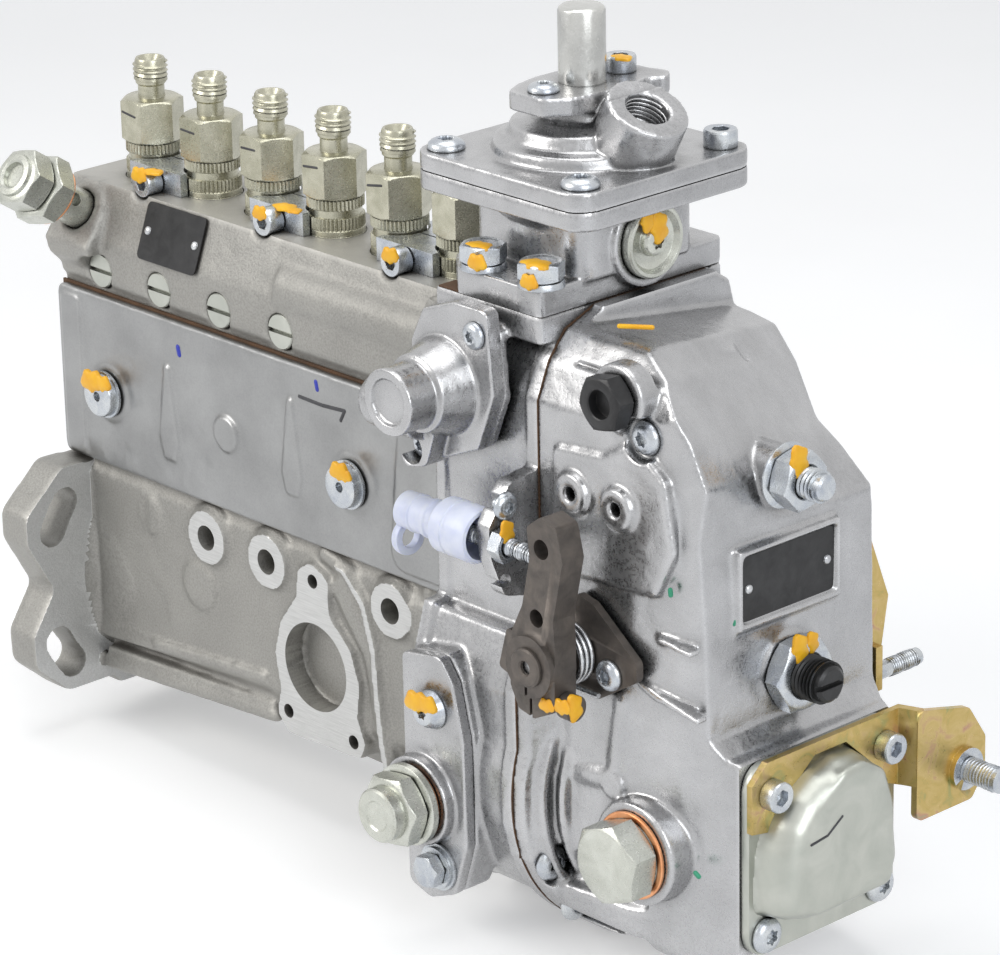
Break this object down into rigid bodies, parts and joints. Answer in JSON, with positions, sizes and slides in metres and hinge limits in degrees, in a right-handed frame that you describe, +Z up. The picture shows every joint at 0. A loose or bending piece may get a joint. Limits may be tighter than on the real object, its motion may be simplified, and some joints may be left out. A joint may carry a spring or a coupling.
{
  "type": "diesel injection pump",
  "caption": "In-line diesel injection pump with drive flange, mechanical governor, control lever and boost compensator; its cams, rack and governor linkage move.",
  "frame": {"origin": "on the camshaft's axis at the drive flange's mounting face", "axes": "+X along the camshaft to the governor, -Y towards the inspection cover and control lever, +Z up towards the delivery valves"},
  "size_m": [0.4138, 0.147, 0.299],
  "materials": {
    "pump_casting": "sand cast",
    "governor_casting": "die cast",
    "machined_steel": "satin",
    "bearing_steel": "ground",
    "seal_rubber": "matte",
    "gasket_paper": "matte",
    "cover_zinc": "zinc plated",
    "olive_zinc": "olive zinc",
    "blue_zinc": "blue zinc",
    "forged_steel": "phosphated",
    "spring_steel": "satin",
    "copper": "satin",
    "black_steel": "black oxide",
    "cap_plastic": "translucent",
    "gold_zinc": "yellow chromate",
    "diaphragm_rubber": "matte"
  },
  "bodies": {
    "pump": {"pump_housing": "pump_casting", "drive_bearing_plate": "machined_steel", "camshaft_bearings": "bearing_steel", "shaft_seal": "seal_rubber", "inspection_cover": "pump_casting", "gaskets": "gasket_paper", "bolts": "blue_zinc", "gallery_plugs": "olive_zinc", "delivery_valve_holders": "olive_zinc", "delivery_valves": "machined_steel", "barrels": "machined_steel", "plunger_springs": "spring_steel", "holder_clamps": "blue_zinc", "overflow_valve": "olive_zinc", "copper_rings": "copper", "governor_housing": "governor_casting", "governor_cover": "governor_casting", "torx_screws": "blue_zinc", "timing_port_plate": "governor_casting", "hex_plugs": "olive_zinc", "breather_plug": "black_steel", "stop_cylinder": "governor_casting", "stop_screws": "black_steel", "lock_nuts": "blue_zinc", "stop_cap": "cap_plastic", "bush_flange": "forged_steel", "closing_cover": "cover_zinc", "linkage_brackets": "gold_zinc", "compensator_body": "governor_casting", "compensator_cover": "governor_casting", "compensator_cap": "governor_casting", "governor_springs": "spring_steel"},
    "camshaft": {"camshaft": "machined_steel", "flyweight_carrier": "machined_steel"},
    "flyweight_1": {"flyweight_1": "machined_steel"},
    "flyweight_2": {"flyweight_2": "machined_steel"},
    "guide_sleeve": {"guide_sleeve": "machined_steel"},
    "rack": {"control_rack": "machined_steel"},
    "lever": {"control_lever": "forged_steel", "lever_shaft": "spring_steel"},
    "diaphragm": {"diaphragm": "diaphragm_rubber"},
    "tensioning_lever": {"tensioning_lever": "machined_steel"},
    "tappet_1": {"tappet_1": "machined_steel"},
    "plunger_1": {"plunger_1": "bearing_steel"},
    "sleeve_1": {"control_sleeve_1": "machined_steel"},
    "tappet_2": {"tappet_2": "machined_steel"},
    "plunger_2": {"plunger_2": "bearing_steel"},
    "sleeve_2": {"control_sleeve_2": "machined_steel"},
    "tappet_3": {"tappet_3": "machined_steel"},
    "plunger_3": {"plunger_3": "bearing_steel"},
    "sleeve_3": {"control_sleeve_3": "machined_steel"},
    "tappet_4": {"tappet_4": "machined_steel"},
    "plunger_4": {"plunger_4": "bearing_steel"},
    "sleeve_4": {"control_sleeve_4": "machined_steel"},
    "tappet_5": {"tappet_5": "machined_steel"},
    "plunger_5": {"plunger_5": "bearing_steel"},
    "sleeve_5": {"control_sleeve_5": "machined_steel"},
    "tappet_6": {"tappet_6": "machined_steel"},
    "plunger_6": {"plunger_6": "bearing_steel"},
    "sleeve_6": {"control_sleeve_6": "machined_steel"}
  },
  "joints": [
    {"name": "camshaft_spin", "type": "hinge", "parent": "pump", "child": "camshaft", "pos_m": [0, 0, 0], "axis": [1, 0, 0], "continuous": true},
    {"name": "flyweight_1_swing", "type": "hinge", "parent": "camshaft", "child": "flyweight_1", "pos_m": [0.229, 0.0185, 0], "axis": [0, 0, 1], "range_deg": [0, 15]},
    {"name": "flyweight_2_swing", "type": "hinge", "parent": "camshaft", "child": "flyweight_2", "pos_m": [0.229, -0.0185, 0], "axis": [0, 0, 1], "range_deg": [-15, 0]},
    {"name": "guide_sleeve_slide", "type": "slide", "parent": "pump", "child": "guide_sleeve", "axis": [1, 0, 0], "range_m": [0, 0.00184]},
    {"name": "rack_slide", "type": "slide", "parent": "pump", "child": "rack", "axis": [1, 0, 0], "range_m": [-0.0105, 0.0105]},
    {"name": "lever_swing", "type": "hinge", "parent": "pump", "child": "lever", "pos_m": [0.2815, -0.06, 0.055], "axis": [0, 1, 0], "range_deg": [0, 50]},
    {"name": "diaphragm_slide", "type": "slide", "parent": "pump", "child": "diaphragm", "axis": [0, 0, 1], "range_m": [-0.005, 0]},
    {"name": "tensioning_swing", "type": "hinge", "parent": "pump", "child": "tensioning_lever", "pos_m": [0.28, 0, 0.088], "axis": [0, 1, 0], "range_deg": [-2, 0]},
    {"name": "tappet_1_slide", "type": "slide", "parent": "pump", "child": "tappet_1", "axis": [0, 0, 1], "range_m": [-0.001, 0]},
    {"name": "plunger_1_turn", "type": "hinge", "parent": "tappet_1", "child": "plunger_1", "pos_m": [0.024, 0, 0.06], "axis": [0, 0, 1], "range_deg": [-50.2, 50.2]},
    {"name": "sleeve_1_turn", "type": "hinge", "parent": "pump", "child": "sleeve_1", "pos_m": [0.024, 0, 0.09], "axis": [0, 0, 1], "range_deg": [-50.2, 50.2]},
    {"name": "tappet_2_slide", "type": "slide", "parent": "pump", "child": "tappet_2", "axis": [0, 0, 1], "range_m": [-0.007, 0]},
    {"name": "plunger_2_turn", "type": "hinge", "parent": "tappet_2", "child": "plunger_2", "pos_m": [0.056, 0, 0.06], "axis": [0, 0, 1], "range_deg": [-50.2, 50.2]},
    {"name": "sleeve_2_turn", "type": "hinge", "parent": "pump", "child": "sleeve_2", "pos_m": [0.056, 0, 0.09], "axis": [0, 0, 1], "range_deg": [-50.2, 50.2]},
    {"name": "tappet_3_slide", "type": "slide", "parent": "pump", "child": "tappet_3", "axis": [0, 0, 1], "range_m": [-0.008, 0]},
    {"name": "plunger_3_turn", "type": "hinge", "parent": "tappet_3", "child": "plunger_3", "pos_m": [0.088, 0, 0.06], "axis": [0, 0, 1], "range_deg": [-50.2, 50.2]},
    {"name": "sleeve_3_turn", "type": "hinge", "parent": "pump", "child": "sleeve_3", "pos_m": [0.088, 0, 0.09], "axis": [0, 0, 1], "range_deg": [-50.2, 50.2]},
    {"name": "tappet_4_slide", "type": "slide", "parent": "pump", "child": "tappet_4", "axis": [0, 0, 1], "range_m": [-0.001, 0]},
    {"name": "plunger_4_turn", "type": "hinge", "parent": "tappet_4", "child": "plunger_4", "pos_m": [0.12, 0, 0.06], "axis": [0, 0, 1], "range_deg": [-50.2, 50.2]},
    {"name": "sleeve_4_turn", "type": "hinge", "parent": "pump", "child": "sleeve_4", "pos_m": [0.12, 0, 0.09], "axis": [0, 0, 1], "range_deg": [-50.2, 50.2]},
    {"name": "tappet_5_slide", "type": "slide", "parent": "pump", "child": "tappet_5", "axis": [0, 0, 1], "range_m": [-0.008, 0]},
    {"name": "plunger_5_turn", "type": "hinge", "parent": "tappet_5", "child": "plunger_5", "pos_m": [0.152, 0, 0.06], "axis": [0, 0, 1], "range_deg": [-50.2, 50.2]},
    {"name": "sleeve_5_turn", "type": "hinge", "parent": "pump", "child": "sleeve_5", "pos_m": [0.152, 0, 0.09], "axis": [0, 0, 1], "range_deg": [-50.2, 50.2]},
    {"name": "tappet_6_slide", "type": "slide", "parent": "pump", "child": "tappet_6", "axis": [0, 0, 1], "range_m": [-0.007, 0]},
    {"name": "plunger_6_turn", "type": "hinge", "parent": "tappet_6", "child": "plunger_6", "pos_m": [0.184, 0, 0.06], "axis": [0, 0, 1], "range_deg": [-50.2, 50.2]},
    {"name": "sleeve_6_turn", "type": "hinge", "parent": "pump", "child": "sleeve_6", "pos_m": [0.184, 0, 0.09], "axis": [0, 0, 1], "range_deg": [-50.2, 50.2]}
  ],
  "couplings": [
    {"joint": "flyweight_2_swing", "follows": "flyweight_1_swing", "ratio": -1},
    {"joint": "guide_sleeve_slide", "follows": "flyweight_1_swing", "m_per_rad": 0.007},
    {"joint": "plunger_1_turn", "follows": "rack_slide", "rad_per_m": -83.333},
    {"joint": "sleeve_1_turn", "follows": "rack_slide", "rad_per_m": -83.333},
    {"joint": "plunger_2_turn", "follows": "rack_slide", "rad_per_m": -83.333},
    {"joint": "sleeve_2_turn", "follows": "rack_slide", "rad_per_m": -83.333},
    {"joint": "plunger_3_turn", "follows": "rack_slide", "rad_per_m": -83.333},
    {"joint": "sleeve_3_turn", "follows": "rack_slide", "rad_per_m": -83.333},
    {"joint": "plunger_4_turn", "follows": "rack_slide", "rad_per_m": -83.333},
    {"joint": "sleeve_4_turn", "follows": "rack_slide", "rad_per_m": -83.333},
    {"joint": "plunger_5_turn", "follows": "rack_slide", "rad_per_m": -83.333},
    {"joint": "sleeve_5_turn", "follows": "rack_slide", "rad_per_m": -83.333},
    {"joint": "plunger_6_turn", "follows": "rack_slide", "rad_per_m": -83.333},
    {"joint": "sleeve_6_turn", "follows": "rack_slide", "rad_per_m": -83.333}
  ]
}
